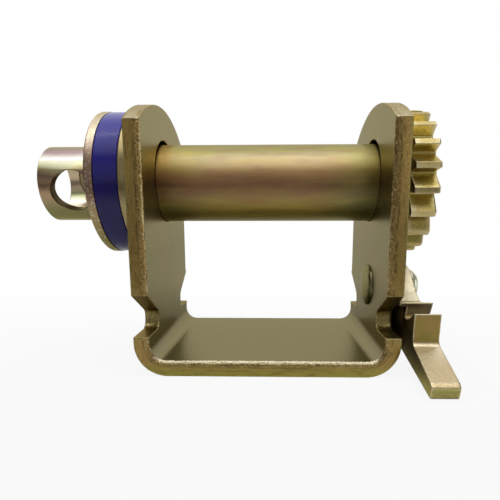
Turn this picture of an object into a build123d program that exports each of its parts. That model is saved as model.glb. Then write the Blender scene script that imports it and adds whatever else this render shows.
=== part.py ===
from build123d import *
from math import atan2, cos, degrees, hypot, radians, sin, sqrt
import os

# Truck strap winch, in millimetres.
# The origin is the middle of the base's underside, +X runs along the drum to the ratchet wheel,
# -Y is the side that the pawl's tail points to, and +Z is up.

# Frame, bent from one plate
inner_width = 133.0
plate_thickness = 9.0
frame_depth = 102.0
bend_inner_radius = 8.5
bend_thinning = 1.5
axis_height = 111.8
shoulder_above_axis = 29.2
crown_above_axis = 46.4
plate_edge_break = 0.6
sheared_edge_radius = 2.0

# Rail notches in the front and rear edges of both side plates
notch_floor_above_bend = 4.0
notch_mouth_height = 23.8
notch_back_height = 10.2
notch_depth = 22.3
notch_floor_radius = 7.0
notch_roof_radius = 5.0
notch_overrun = 2.0

# Drum tube
tube_diameter = 48.3
tube_wall = 7.1
head_length = 38.0
head_turned_depth = 0.75
head_turned_length = 33.0
tube_tail_length = 4.0
tube_edge_break = 0.8
hole_edge_break = 0.5
bar_hole_diameter = 24.5
bar_hole_from_end = 20.0
bar_hole_tilt = 15.0
strap_slot_length = 100.0
strap_slot_width = 10.0

# How the drum runs in the frame: it lies low in its holes
drum_hole_clearance = 1.5
drum_seat_gap = 0.3
side_clearance = 0.4
disc_fit_gap = 0.1

# Washer, discs and ring on the left end
washer_rim_width = 7.8
left_washer_thickness = 1.5
inner_flange_thickness = 5.0
spacer_ring_width = 13.8
spacer_ring_diameter = 87.3
spacer_ring_edge_radius = 0.8
outer_flange_thickness = 5.0
flange_diameter = 88.0
flange_edge_break = 0.5
weld_leg = 4.0
weld_bulge = 0.5

# Collar and ratchet wheel on the right end
collar_thickness = 4.8
ratchet_thickness = 14.5
ratchet_diameter = 87.0
tooth_count = 20
tooth_depth = 9.5
tooth_land = 3.4
tooth_phase = 77.8
tooth_edge_break = 1.0

# Rivet that the pawl swings on, below the drum axis and a little to the front
pivot_below_axis = 66.0
pivot_forward = 3.5
pin_diameter = 16.0
pin_clearance = 0.08
pin_inner_head_diameter = 27.0
pin_inner_head_height = 3.6
pin_outer_head_diameter = 21.0
pin_outer_head_height = 7.8
pin_head_gap = 0.2
pawl_washer_thickness = 1.7
pawl_washer_diameter = 26.0
pawl_washer_gap = 0.1

# Pawl: a hub and web beside the plate, and lugs with a tail set out in line with the ratchet wheel
pawl_hub_radius = 13.2
pawl_hub_thickness = 14.0
pawl_lug_thickness = 14.9
pawl_lug_inset = 1.1
pawl_edge_break = 0.6
crest_land = 1.2
valley_radius = 1.5
tail_root_radius = 2.5
tail_tip_radius = 2.6
tail_tip_height = 7.3
tail_rest_gap = 0.2

# Pawl outline at rest, as distances forward of the pivot and above it
web_middle = (21.1, -0.7)
web_hollow = (29.0, -5.2)
rear_crest = (35.2, -4.8)
valley_rear = (30.1, -15.6)
valley_front = (36.9, -14.6)
front_crest = (47.2, -8.8)
tail_root = (46.1, -26.0)
tail_heel = (29.5, -35.6)
lug_back_foot = (18.0, -24.0)
lug_back_top = (25.5, -8.5)
tail_tip_top_forward = 76.1
tail_tip_bottom_forward = 74.4

# Below its crest the web's front slopes back towards the plate
web_fin_thickness = 2.5
web_relief_run = 9.0
web_relief_overrun = 1.5

# Places worked out from the sizes above
half_inner = inner_width / 2
half_outer = half_inner + plate_thickness
half_depth = frame_depth / 2
bend_outer_radius = bend_inner_radius + plate_thickness + bend_thinning
shoulder_height = axis_height + shoulder_above_axis
crown_height = axis_height + crown_above_axis
notch_floor = bend_outer_radius + notch_floor_above_bend
notch_roof = notch_floor + notch_back_height
notch_mouth = notch_floor + notch_mouth_height

tube_radius = tube_diameter / 2
tube_bore_radius = tube_radius - tube_wall
head_diameter = tube_diameter - 2 * head_turned_depth
disc_bore_radius = tube_radius + disc_fit_gap
washer_diameter = 2 * (disc_bore_radius + washer_rim_width)
drum_hole_radius = tube_radius + drum_hole_clearance
drum_hole_height = axis_height + drum_hole_clearance - drum_seat_gap

left_washer_x = -half_outer - side_clearance - left_washer_thickness
inner_flange_x = left_washer_x - inner_flange_thickness
spacer_ring_x = inner_flange_x - spacer_ring_width
outer_flange_x = spacer_ring_x - outer_flange_thickness
tube_left_x = outer_flange_x - head_length
collar_x = half_outer + side_clearance
ratchet_x = collar_x + collar_thickness
ratchet_face_x = ratchet_x + ratchet_thickness
tube_right_x = ratchet_face_x + tube_tail_length

pivot_y = -pivot_forward
pivot_z = axis_height - pivot_below_axis
pin_radius = pin_diameter / 2
pin_hole_radius = pin_radius + pin_clearance
pawl_washer_x = half_outer + pawl_washer_gap
pawl_hub_x = pawl_washer_x + pawl_washer_thickness + pawl_washer_gap
pawl_lug_x = ratchet_x + pawl_lug_inset
tail_tip_bottom = (tail_tip_bottom_forward, tail_rest_gap - pivot_z)
tail_tip_top = (tail_tip_top_forward, tail_rest_gap + tail_tip_height - pivot_z)

# Two lengths or heights closer than this are the same
same_length = 1e-3


def drum_disc(x, thickness, diameter, bore_radius):
    """A ring about the drum axis, from x towards +X."""
    sketch = Circle(diameter / 2) - Circle(bore_radius)
    plane = Plane.YZ.offset(x) * Pos(0, axis_height)
    return extrude(plane * sketch, amount=thickness)


def circular_edges(shape, radius):
    """The circles of one radius among a shape's edges."""
    circles = shape.edges().filter_by(GeomType.CIRCLE)
    return circles.filter_by(lambda edge: abs(edge.radius - radius) < same_length)


def weld_bead(x, towards):
    """A slightly rounded fillet weld round the tube, on the face at x that looks along towards."""
    foot = tube_radius + disc_fit_gap
    root = (x, foot)
    toe_on_tube = (x + towards * weld_leg, foot)
    toe_on_disc = (x, foot + weld_leg)
    rise = weld_leg / 2 + weld_bulge
    crown = ThreePointArc(toe_on_tube, (x + towards * rise, foot + rise), toe_on_disc)
    section = make_face([crown, Polyline(toe_on_disc, root, toe_on_tube)])
    bead = revolve(Plane.XZ * section, Axis.X)
    return Pos(0, 0, axis_height) * bead


def corner_at(face, y, z):
    """The corner of a flat outline that lies nearest to a place in Y and Z."""
    return face.vertices().sort_by_distance((y, z, 0))[0]


def notch_outline(side):
    """A rail notch's outline in Y and Z, open past the plate's edge on one side."""
    back = side * (half_depth - notch_depth)
    open_end = side * (half_depth + notch_overrun)
    roof_slope = (notch_mouth - notch_roof) / notch_depth
    face = make_face(
        Polyline(
            (open_end, notch_floor),
            (back, notch_floor),
            (back, notch_roof),
            (open_end, notch_mouth + roof_slope * notch_overrun),
            close=True,
        )
    )
    face = fillet(corner_at(face, back, notch_floor), notch_floor_radius)
    return fillet(corner_at(face, back, notch_roof), notch_roof_radius)


def is_sheared(edge):
    """Whether an edge runs along the inner skin's front or rear side, which the shears rolled over."""
    middle = edge @ 0.5
    if abs(abs(middle.Y) - half_depth) > same_length or abs((edge % 0.5).Y) > same_length:
        return False
    if edge.geom_type == GeomType.CIRCLE:
        return abs(edge.radius - bend_inner_radius) < same_length
    on_side_plate = abs(abs(middle.X) - half_inner) < same_length
    on_base = abs(middle.Z - plate_thickness) < same_length
    return on_side_plate or on_base


def plate_rims(bracket):
    """The other cut edges of the plate's two skins, without its bend lines, corners and rivet hole."""
    rims = []
    for edge in bracket.edges():
        if edge.geom_type == GeomType.LINE:
            direction = edge % 0.5
            along_x = abs(direction.Y) + abs(direction.Z) < same_length
            along_y = abs(direction.X) + abs(direction.Z) < same_length
            is_corner = along_x and abs(edge.length - plate_thickness) < same_length
            is_bend_line = along_y and abs(edge.length - frame_depth) < same_length
            if is_corner or is_bend_line:
                continue
        elif edge.geom_type == GeomType.CIRCLE:
            if abs(edge.radius - pin_hole_radius) < same_length:
                continue
        if not is_sheared(edge):
            rims.append(edge)
    return rims


def make_frame():
    """The bent plate: a U section cut to the crowned side outline, with its notches and holes."""
    outer = Pos(0, crown_height / 2) * Rectangle(2 * half_outer, crown_height)
    outer = fillet(outer.vertices().group_by(Axis.Y)[0], bend_outer_radius)
    inner_height = crown_height - plate_thickness
    inner = Pos(0, plate_thickness + inner_height / 2) * Rectangle(inner_width, inner_height)
    inner = fillet(inner.vertices().group_by(Axis.Y)[0], bend_inner_radius)
    channel = extrude(Plane.XZ * (outer - inner), amount=half_depth, both=True)

    front_shoulder = (-half_depth, shoulder_height)
    rear_shoulder = (half_depth, shoulder_height)
    sides = Polyline(rear_shoulder, (half_depth, 0), (-half_depth, 0), front_shoulder)
    crown = ThreePointArc(front_shoulder, (0, crown_height), rear_shoulder)
    outline = make_face([sides, crown])
    outline -= notch_outline(1)
    outline -= notch_outline(-1)
    outline -= Pos(0, drum_hole_height) * Circle(drum_hole_radius)
    bracket = channel & extrude(Plane.YZ * outline, amount=2 * half_outer, both=True)

    pin_hole = Plane.YZ.offset(half_inner) * Pos(pivot_y, pivot_z) * Circle(pin_hole_radius)
    bracket -= extrude(pin_hole, amount=plate_thickness)
    bracket = chamfer(plate_rims(bracket), plate_edge_break)
    return fillet(bracket.edges().filter_by(is_sheared), sheared_edge_radius)


def make_drum_tube():
    """The drum tube with its turned head, its cross hole for the bar and its strap slot at the rear."""
    shoulder_x = tube_left_x + head_turned_length
    head = drum_disc(tube_left_x, head_turned_length, head_diameter, tube_bore_radius)
    tube = head + drum_disc(shoulder_x, tube_right_x - shoulder_x, tube_diameter, tube_bore_radius)
    end_faces = tube.faces().sort_by(Axis.X)
    tube = chamfer(end_faces[0].edges() + end_faces[-1].edges(), tube_edge_break)

    bar_x = tube_left_x + bar_hole_from_end
    bar_place = Pos(bar_x, 0, axis_height) * Rot(90 + bar_hole_tilt, 0, 0)
    tube -= bar_place * Cylinder(bar_hole_diameter / 2, 2 * tube_diameter)

    slot_sketch = Pos(0, axis_height) * SlotOverall(strap_slot_length, strap_slot_width)
    tube -= extrude(Plane.XZ * slot_sketch, amount=-tube_diameter)

    slot_straight = strap_slot_length - strap_slot_width
    cut_edges = []
    for edge in tube.edges():
        is_slot_side = abs(edge.length - slot_straight) < same_length
        if is_slot_side or edge.geom_type == GeomType.BSPLINE:
            cut_edges.append(edge)
    return chamfer(cut_edges, hole_edge_break)


def make_flange(x, thickness):
    """A plain disc on the tube with lightly broken outer edges."""
    disc = drum_disc(x, thickness, flange_diameter, disc_bore_radius)
    return chamfer(circular_edges(disc, flange_diameter / 2), flange_edge_break)


def make_spacer_ring():
    """The plastic ring between the two discs, with rounded outer edges."""
    ring = drum_disc(spacer_ring_x, spacer_ring_width, spacer_ring_diameter, disc_bore_radius)
    return fillet(circular_edges(ring, spacer_ring_diameter / 2), spacer_ring_edge_radius)


def rim_point(radius, angle):
    """A point of the wheel's outline in Y and Z, with the angle taken from the front upwards."""
    return (-radius * cos(radians(angle)), axis_height + radius * sin(radians(angle)))


def make_ratchet_wheel():
    """A saw-tooth wheel: each tooth has a radial face, a land and a long back."""
    tip_radius = ratchet_diameter / 2
    root_radius = tip_radius - tooth_depth
    land_angle = degrees(tooth_land / tip_radius)
    outline = []
    for tooth in range(tooth_count):
        face_angle = tooth_phase + tooth * 360 / tooth_count
        outline.append(rim_point(root_radius, face_angle))
        outline.append(rim_point(tip_radius, face_angle))
        outline.append(rim_point(tip_radius, face_angle + land_angle))
    face = make_face(Polyline(*outline, close=True))
    face -= Pos(0, axis_height) * Circle(disc_bore_radius)
    wheel = extrude(Plane.YZ.offset(ratchet_x) * face, amount=ratchet_thickness)
    outer_rim = wheel.faces().sort_by(Axis.X)[-1].outer_wire()
    return chamfer(outer_rim.edges(), tooth_edge_break)


def pawl_point(place):
    """A pawl outline point in Y and Z, from its place forward of and above the pivot."""
    forward, above = place
    return (pivot_y - forward, pivot_z + above)


def pawl_face(places):
    """The flat outline through a list of the pawl's places."""
    return make_face(Polyline(*[pawl_point(place) for place in places], close=True))


def crest_back(crest):
    """The rear end of a crest's land, level with the crest."""
    return (crest[0] - crest_land, crest[1])


def hub_tangent(place, side):
    """Where a line from a place touches the hub's circle, on its upper or lower side."""
    distance = hypot(*place)
    towards = atan2(place[1], place[0])
    spread = atan2(sqrt(distance**2 - pawl_hub_radius**2), pawl_hub_radius)
    angle = towards + side * spread
    return (pawl_hub_radius * cos(angle), pawl_hub_radius * sin(angle))


def pawl_slab(face, x, thickness):
    """A layer of the pawl with broken edges, from x towards +X."""
    slab = extrude(Plane.YZ.offset(x) * face, amount=thickness)
    faces = slab.faces().sort_by(Axis.X)
    rims = faces[0].outer_wire().edges() + faces[-1].outer_wire().edges()
    return chamfer(rims, pawl_edge_break)


def web_relief():
    """The wedge that leaves the web's front sloping back to the plate, under a fin at its crest."""
    slope = web_relief_run / (pawl_lug_x - pawl_hub_x)
    outside_x = pawl_hub_x - web_relief_overrun
    front_y = pivot_y - rear_crest[0] - web_relief_overrun
    lug_y = pivot_y - tail_heel[0]
    plan = make_face(
        Polyline(
            (pawl_lug_x, front_y),
            (pawl_lug_x, lug_y),
            (outside_x, lug_y + slope * (pawl_lug_x - outside_x)),
            (outside_x, front_y),
            close=True,
        )
    )
    foot = pivot_z + tail_heel[1] - web_relief_overrun
    top = pivot_z + rear_crest[1] - web_fin_thickness
    return extrude(Plane.XY.offset(foot) * plan, amount=top - foot)


def make_pawl():
    """The pawl: hub and web beside the plate, and two lugs and a tail in line with the wheel."""
    web = pawl_face(
        [
            hub_tangent(web_middle, 1),
            web_middle,
            web_hollow,
            crest_back(rear_crest),
            rear_crest,
            valley_rear,
            tail_heel,
            hub_tangent(tail_heel, -1),
        ]
    )
    web += Pos(pivot_y, pivot_z) * Circle(pawl_hub_radius)

    lugs = pawl_face(
        [
            lug_back_top,
            crest_back(rear_crest),
            rear_crest,
            valley_rear,
            valley_front,
            crest_back(front_crest),
            front_crest,
            tail_root,
            tail_tip_top,
            tail_tip_bottom,
            tail_heel,
            lug_back_foot,
        ]
    )
    rounded = {
        valley_rear: valley_radius,
        valley_front: valley_radius,
        tail_root: tail_root_radius,
        tail_tip_top: tail_tip_radius,
    }
    for place, radius in rounded.items():
        lugs = fillet(corner_at(lugs, *pawl_point(place)), radius)

    hub_slab = pawl_slab(web, pawl_hub_x, pawl_hub_thickness) - web_relief()
    lug_slab = pawl_slab(lugs, pawl_lug_x, pawl_lug_thickness)
    bore = Plane.YZ.offset(pawl_hub_x) * Pos(pivot_y, pivot_z) * Circle(pin_hole_radius)
    return hub_slab + lug_slab - extrude(bore, amount=pawl_hub_thickness)


def make_pawl_pin():
    """The rivet: a low head inside the plate, a shank, and a round head outside the pawl."""
    inner_face = half_inner
    outer_face = pawl_hub_x + pawl_hub_thickness + pin_head_gap
    inner_apex = (inner_face - pin_inner_head_height, 0)
    outer_apex = (outer_face + pin_outer_head_height, 0)
    inner_rim = (inner_face, pin_inner_head_diameter / 2)
    outer_rim = (outer_face, pin_outer_head_diameter / 2)
    inner_dome = TangentArc(inner_apex, inner_rim, tangent=(0, 1))
    outer_dome = TangentArc(outer_apex, outer_rim, tangent=(0, 1))
    shank = Polyline(inner_rim, (inner_face, pin_radius), (outer_face, pin_radius), outer_rim)
    section = make_face([inner_dome, shank, outer_dome, Line(outer_apex, inner_apex)])
    pin = revolve(Plane.XZ * section, Axis.X)
    return Pos(0, pivot_y, pivot_z) * pin


def make_pawl_washer():
    """The washer on the rivet between the plate and the pawl."""
    sketch = Circle(pawl_washer_diameter / 2) - Circle(pin_hole_radius)
    plane = Plane.YZ.offset(pawl_washer_x) * Pos(pivot_y, pivot_z)
    return extrude(plane * sketch, amount=pawl_washer_thickness)


nodes = {
    "frame": make_frame(),
    "pawl_pin": make_pawl_pin(),
    "pawl_washer": make_pawl_washer(),
    "drum_tube": make_drum_tube(),
    "outer_flange": make_flange(outer_flange_x, outer_flange_thickness),
    "outer_flange_weld": weld_bead(outer_flange_x, -1),
    "spacer_ring": make_spacer_ring(),
    "inner_flange": make_flange(inner_flange_x, inner_flange_thickness),
    "left_thrust_washer": drum_disc(left_washer_x, left_washer_thickness, washer_diameter, disc_bore_radius),
    "right_thrust_collar": drum_disc(collar_x, collar_thickness, washer_diameter, disc_bore_radius),
    "ratchet_wheel": make_ratchet_wheel(),
    "ratchet_weld": weld_bead(ratchet_face_x, 1),
    "pawl": make_pawl(),
}

os.makedirs("parts", exist_ok=True)
for name, shape in nodes.items():
    export_step(shape, f"parts/{name}.step")
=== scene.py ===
import logging
import math
from collections.abc import Callable, Sequence
from dataclasses import dataclass, field
from enum import Enum
from typing import NamedTuple

import bmesh
import bpy
import numpy as np
from mathutils import Matrix, Vector, noise
from mathutils.geometry import area_tri, delaunay_2d_cdt


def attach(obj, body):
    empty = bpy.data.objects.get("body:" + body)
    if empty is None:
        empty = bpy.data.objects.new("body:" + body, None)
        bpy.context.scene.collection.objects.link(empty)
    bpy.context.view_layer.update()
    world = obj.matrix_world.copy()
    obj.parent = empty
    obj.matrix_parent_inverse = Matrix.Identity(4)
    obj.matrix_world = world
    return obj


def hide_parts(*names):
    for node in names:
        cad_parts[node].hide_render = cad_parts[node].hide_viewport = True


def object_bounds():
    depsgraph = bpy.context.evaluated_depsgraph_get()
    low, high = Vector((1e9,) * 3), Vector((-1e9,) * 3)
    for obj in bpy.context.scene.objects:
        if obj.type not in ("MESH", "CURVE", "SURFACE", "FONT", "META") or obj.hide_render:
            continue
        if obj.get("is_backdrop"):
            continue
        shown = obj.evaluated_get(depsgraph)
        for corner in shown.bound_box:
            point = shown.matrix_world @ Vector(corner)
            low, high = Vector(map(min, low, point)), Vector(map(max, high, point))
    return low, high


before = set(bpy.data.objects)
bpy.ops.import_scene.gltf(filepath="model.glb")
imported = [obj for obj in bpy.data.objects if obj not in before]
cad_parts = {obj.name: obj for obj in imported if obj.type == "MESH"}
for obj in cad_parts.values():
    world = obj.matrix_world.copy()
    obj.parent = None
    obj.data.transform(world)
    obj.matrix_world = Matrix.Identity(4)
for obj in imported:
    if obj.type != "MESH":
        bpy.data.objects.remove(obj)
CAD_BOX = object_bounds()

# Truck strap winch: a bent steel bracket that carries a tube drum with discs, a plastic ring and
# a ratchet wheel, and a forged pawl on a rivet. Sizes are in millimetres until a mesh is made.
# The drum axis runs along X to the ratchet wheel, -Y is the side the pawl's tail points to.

log = logging.getLogger("strap_winch")

MM = 0.001
AXIS_HEIGHT = 111.8
AXIS = (0.0, AXIS_HEIGHT)

Flat = tuple[float, float]
Corner = tuple[float, float, float]
Stop = tuple[float, str]
Material = bpy.types.Material
Socket = bpy.types.NodeSocket
Settings = dict[str | int, object]

# Where a painted light or shade tint starts and is full, by how far a face looks along an axis
TO_LEFT, TO_RIGHT = (-0.45, -0.85), (0.02, 0.2)
UPWARD, DOWNWARD = (0.35, 0.85), (-0.15, -0.4)

# Where nearly all values of a noise pattern lie
NOISE_SPAN = (0.3, 0.7)

PLATED_SOCKETS = (
    "Base Color", "Roughness", "Normal", "Metallic",
    "Specular Tint", "Coat Weight", "Coat Roughness", "Coat IOR",
)


class Body(Enum):
    """The rigid bodies that pieces ride on."""

    FRAME = "frame"
    DRUM = "drum"
    PAWL = "pawl"


class Slot(Enum):
    """The record's material slots for the pieces built here, which settle takes but does not use."""

    PLATE = "zinc_plate"
    RIVET = "zinc_rivet"
    DISC = "zinc_disc"
    WELD = "weld_bead"
    PLASTIC = "blue_plastic"
    WHEEL = "zinc_wheel"
    FORGED = "zinc_forged"


class Skin(Enum):
    """Which finish a face of a piece takes."""

    FACE = 0
    CUT = 1


def hex_linear(code: str) -> tuple[float, float, float, float]:
    """Turns an sRGB hex colour into linear light.

    Args:
        code: six hex digits.

    Returns:
        Red, green, blue and an alpha of 1.
    """
    levels = [int(code[i : i + 2], 16) / 255 for i in (0, 2, 4)]
    linear = [v / 12.92 if v <= 0.04045 else ((v + 0.055) / 1.055) ** 2.4 for v in levels]
    return (*linear, 1.0)


def set_node(tree: bpy.types.NodeTree, node: bpy.types.Node, settings: Settings) -> None:
    """Gives a node its values and its feeds.

    Args:
        tree: the material's nodes.
        node: the node.
        settings: a value or the socket that feeds it, by property name or by socket name or place,
            or a colour ramp's stops.
    """
    for key, value in settings.items():
        if isinstance(value, Socket):
            tree.links.new(value, node.inputs[key])
        elif key == "stops":
            ramp = node.color_ramp.elements
            while len(ramp) < len(value):
                ramp.new(0.5)
            for element, (position, code) in zip(ramp, value):
                element.position = position
                element.color = hex_linear(code)
        elif isinstance(key, str) and hasattr(node, key):
            setattr(node, key, value)
        else:
            node.inputs[key].default_value = value


def add_node(tree: bpy.types.NodeTree, kind: str, settings: Settings) -> bpy.types.Node:
    """Adds a node with its settings.

    Args:
        tree: the material's nodes.
        kind: the node's type, without the ShaderNode that it starts with.
        settings: its values and feeds, as set_node takes them.

    Returns:
        The node.
    """
    node = tree.nodes.new(f"ShaderNode{kind}")
    set_node(tree, node, settings)
    return node


class NodePaint:
    """A finish while its nodes are laid, with its colour so far and where a point lies and looks."""

    def __init__(self, name: str) -> None:
        """Starts the material.

        Args:
            name: the material's name.
        """
        self.made: Material = bpy.data.materials.new(name)
        self.made.use_nodes = True
        self.tree: bpy.types.NodeTree = self.made.node_tree
        places = self.add("TexCoord", {}).outputs
        self.spots: Socket = places["Object"]
        self.sides = self.add("SeparateXYZ", {0: self.spots}).outputs
        self.ways = self.add("SeparateXYZ", {0: places["Normal"]}).outputs
        self.colour: Socket | None = None

    def add(self, kind: str, settings: Settings) -> bpy.types.Node:
        """Adds a node to the material."""
        return add_node(self.tree, kind, settings)

    def drawn(self, scale: Corner, places: Socket | None = None) -> Socket:
        """Places on which a pattern is drawn out along the axes with a small scale."""
        return self.add("Mapping", {"Scale": scale, "Vector": places or self.spots}).outputs[0]

    def noise(self, size: float, detail: float, places: Socket | None = None) -> Socket:
        """A cloudy pattern with features of this many millimetres."""
        settings = {"Scale": 1.0 / (size * MM), "Detail": detail, "Vector": places or self.spots}
        return self.add("TexNoise", settings).outputs["Fac"]

    def math(self, operation: str, first: Socket, second: Socket | float = 0.0) -> Socket:
        """The result of an operation on two values."""
        return self.add("Math", {"operation": operation, 0: first, 1: second}).outputs[0]

    def both(self, first: Socket, second: Socket) -> Socket:
        """The share where two shares meet."""
        return self.math("MULTIPLY", first, second)

    def length(self, vector: Socket) -> Socket:
        """The length of a vector."""
        return self.add("VectorMath", {"operation": "LENGTH", 0: vector}).outputs["Value"]

    def ramp(
        self, value: Socket, low: float, high: float, most: float = 1.0, least: float = 0.0
    ) -> Socket:
        """A share that grows from its least where a value is low to its most where it is high."""
        limits = {"From Min": low, "From Max": high, "To Min": least, "To Max": most}
        return self.add("MapRange", {"Value": value, **limits}).outputs[0]

    def along(self, axis: str, low: float, high: float, most: float = 1.0) -> Socket:
        """A share that grows along an axis, from one place in millimetres to another."""
        return self.ramp(self.sides[axis], low * MM, high * MM, most)

    def facing(self, axis: str, low: float, high: float) -> Socket:
        """A share that grows the more a face looks along an axis."""
        return self.ramp(self.ways[axis], low, high)

    def mark(self, name: str) -> Socket:
        """A mark that the mesh carries."""
        return self.add("Attribute", {"attribute_name": name}).outputs["Fac"]

    def worn(self, low: float, high: float, most: float) -> Socket:
        """A share that grows towards outer corners."""
        return self.ramp(self.add("NewGeometry", {}).outputs["Pointiness"], low, high, most)

    def bands(self, share: Socket, stops: Sequence[Stop]) -> Socket:
        """A colour that runs through its stops."""
        return self.add("ValToRGB", {"stops": stops, "Fac": share}).outputs["Color"]

    def mix(self, share: Socket, below: Socket | str, above: Socket | str) -> Socket:
        """Lays a colour over another by a share, each from a socket or a plain tint."""
        below, above = (hex_linear(c) if isinstance(c, str) else c for c in (below, above))
        return self.add("Mix", {"data_type": "RGBA", 0: share, 6: below, 7: above}).outputs[2]

    def lay(self, share: Socket, tint: Socket | str) -> None:
        """Lays a tint over the colour so far by a share."""
        self.colour = self.mix(share, self.colour, tint)

    def bump(self, height: Socket, depth: float, strength: Socket | float = 1.0) -> Socket:
        """Fine relief of this many millimetres."""
        settings = {"Strength": strength, "Distance": depth * MM, "Height": height}
        return self.add("Bump", settings).outputs[0]

    def shaded(self, settings: Settings) -> Material:
        """Gives the shader its values and feeds, and hands over the material."""
        set_node(self.tree, self.tree.nodes["Principled BSDF"], settings)
        return self.made

    def plated(self, rough: Socket, normal: Socket, glancing: str, film: Flat | Corner) -> Material:
        """Makes the colour so far a metal, under a film of a weight, a roughness and an index."""
        values = (self.colour, rough, normal, 1.0, hex_linear(glancing), *film)
        return self.shaded(dict(zip(PLATED_SOCKETS, values)))


@dataclass(frozen=True)
class ZincPlatedSteel:
    """Steel with a bright zinc coat under a thin yellow passivate film.

    The film drifts between khaki, straw and a faint rose or green, and reflects a little white
    over the metal's own colour. Fine grain in the steel below scatters the gloss.
    Some pieces carry painted light by the way a face looks or how high it lies: painted highlights
    on upward and right-facing faces and high up, painted shade on left-facing and downward faces.
    """

    name: str
    base: str
    warm: str
    cool: str
    dark: str
    patch: float
    grain: float
    grain_depth: float
    roughness: float
    roughness_spread: float = 0.08
    film: float = 0.5
    film_index: float = 1.9
    film_roughness: float = 0.32
    drift_stops: Corner = (0.32, 0.5, 0.68)
    speckle: Corner = (0.55, 0.72, 0.25)
    glancing: str = "c8bd9a"
    # Painted shade on faces looking left, and a painted highlight on faces looking right
    thick: str = ""
    struck: str = ""
    drip: str = ""
    drip_span: Flat = (16.0, 2.0)
    # Painted light high up
    high: str = ""
    high_span: Flat = (70.0, 130.0)
    # Painted highlight on faces looking up, more at the crest's height
    upper: str = ""
    crest: str = ""
    crest_span: Flat = (13.0, 21.0)
    # Painted shade on faces looking down
    under: str = ""
    land: str = ""
    worn: str = ""
    worn_span: Corner = (0.505, 0.545, 0.9)

    def tint(self, paint: NodePaint) -> None:
        """Lays painted light and shade by facing and high up, a tint low down, and tints on lands
        and on outer corners.

        Args:
            paint: the finish so far.
        """
        # Painted shade facing left, painted highlight facing right, a tint low down, painted light
        # high up and facing up, and painted shade facing down
        for code, share, axis, span in (
            (self.thick, paint.facing, "X", TO_LEFT),
            (self.struck, paint.facing, "X", TO_RIGHT),
            (self.drip, paint.along, "Z", self.drip_span),
            (self.high, paint.along, "Z", self.high_span),
            (self.upper, paint.facing, "Z", UPWARD),
            (self.under, paint.facing, "Z", DOWNWARD),
        ):
            if code:
                paint.lay(share(axis, *span), code)
        # Painted highlight on faces looking up at the crest's height
        if self.crest:
            share = paint.both(paint.facing("Z", *UPWARD), paint.along("Z", *self.crest_span))
            paint.lay(share, self.crest)
        if self.land:
            paint.lay(paint.mark("torn"), self.land)
        if self.worn:
            paint.lay(paint.worn(*self.worn_span), self.worn)

    def material(self) -> Material:
        """Builds the finish as a material.

        Returns:
            The material.
        """
        paint = NodePaint(self.name)
        drift = list(zip(self.drift_stops, (self.cool, self.base, self.warm)))
        grit = paint.noise(self.grain, 4.0)
        paint.colour = paint.bands(paint.noise(self.patch, 2.0), drift)
        self.tint(paint)
        paint.lay(paint.ramp(grit, *self.speckle), self.dark)
        gloss = (self.roughness + self.roughness_spread, self.roughness - self.roughness_spread)
        rough, normal = paint.ramp(grit, *NOISE_SPAN, *gloss), paint.bump(grit, self.grain_depth)
        film = (self.film, self.film_roughness, self.film_index)
        return paint.plated(rough, normal, self.glancing, film)


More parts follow.
